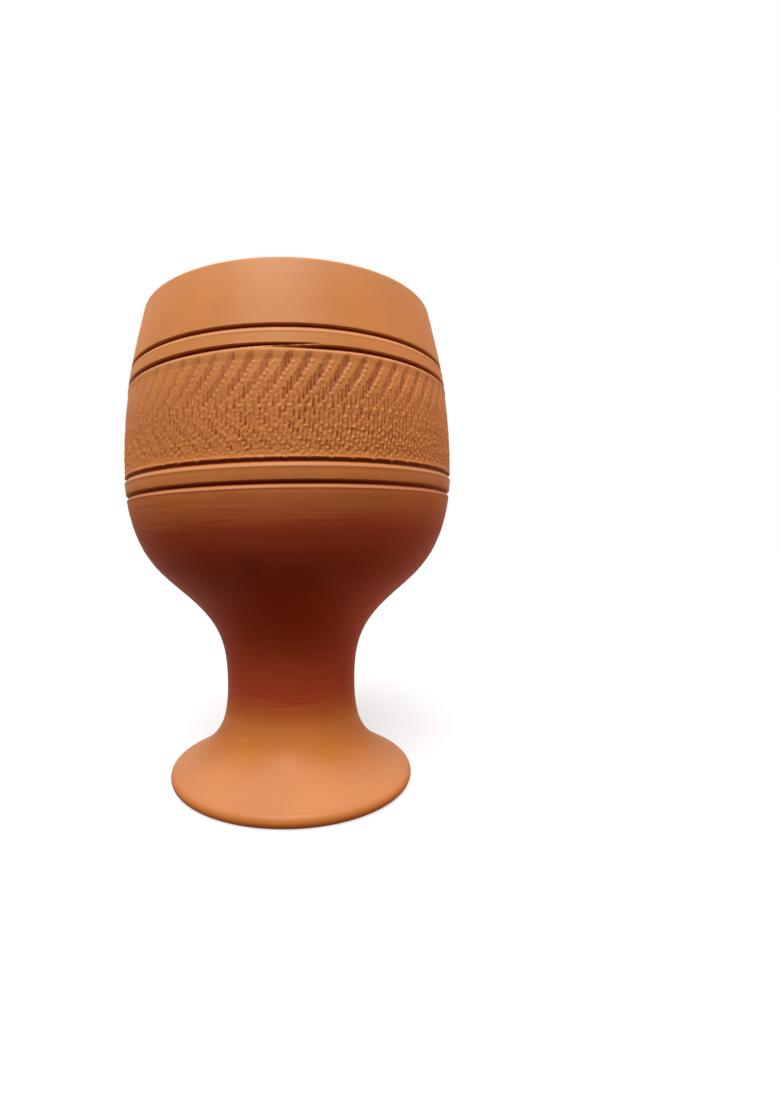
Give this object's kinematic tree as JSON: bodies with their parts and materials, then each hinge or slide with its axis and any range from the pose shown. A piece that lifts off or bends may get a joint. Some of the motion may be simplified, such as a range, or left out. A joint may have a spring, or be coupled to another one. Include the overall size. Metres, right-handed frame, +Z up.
{
  "type": "goblet",
  "caption": "Turned terracotta goblet with a grooved and chattered round bowl on a waisted hollow stem and a flared round foot, for drinks or display.",
  "frame": {"origin": "on the goblet's axis, on the plane that the foot rests on", "axes": "+Z up along the turning axis, from the foot to the mouth; X and Y are equal because the pieces are turned"},
  "size_m": [0.0912, 0.0912, 0.13],
  "materials": {
    "bowl_clay": "unglazed terracotta, turned smooth, with a chattered band",
    "upper_slip": "fired luting slip, sponged flush",
    "stem_clay": "unglazed terracotta with a dark red slip wash",
    "lower_slip": "fired luting slip, sponged flush",
    "foot_clay": "unglazed terracotta, turned smooth"
  },
  "bodies": {
    "root": {"bowl": "bowl_clay", "bowl_lute": "upper_slip", "stem": "stem_clay", "foot_lute": "lower_slip", "foot": "foot_clay"}
  },
  "joints": []
}
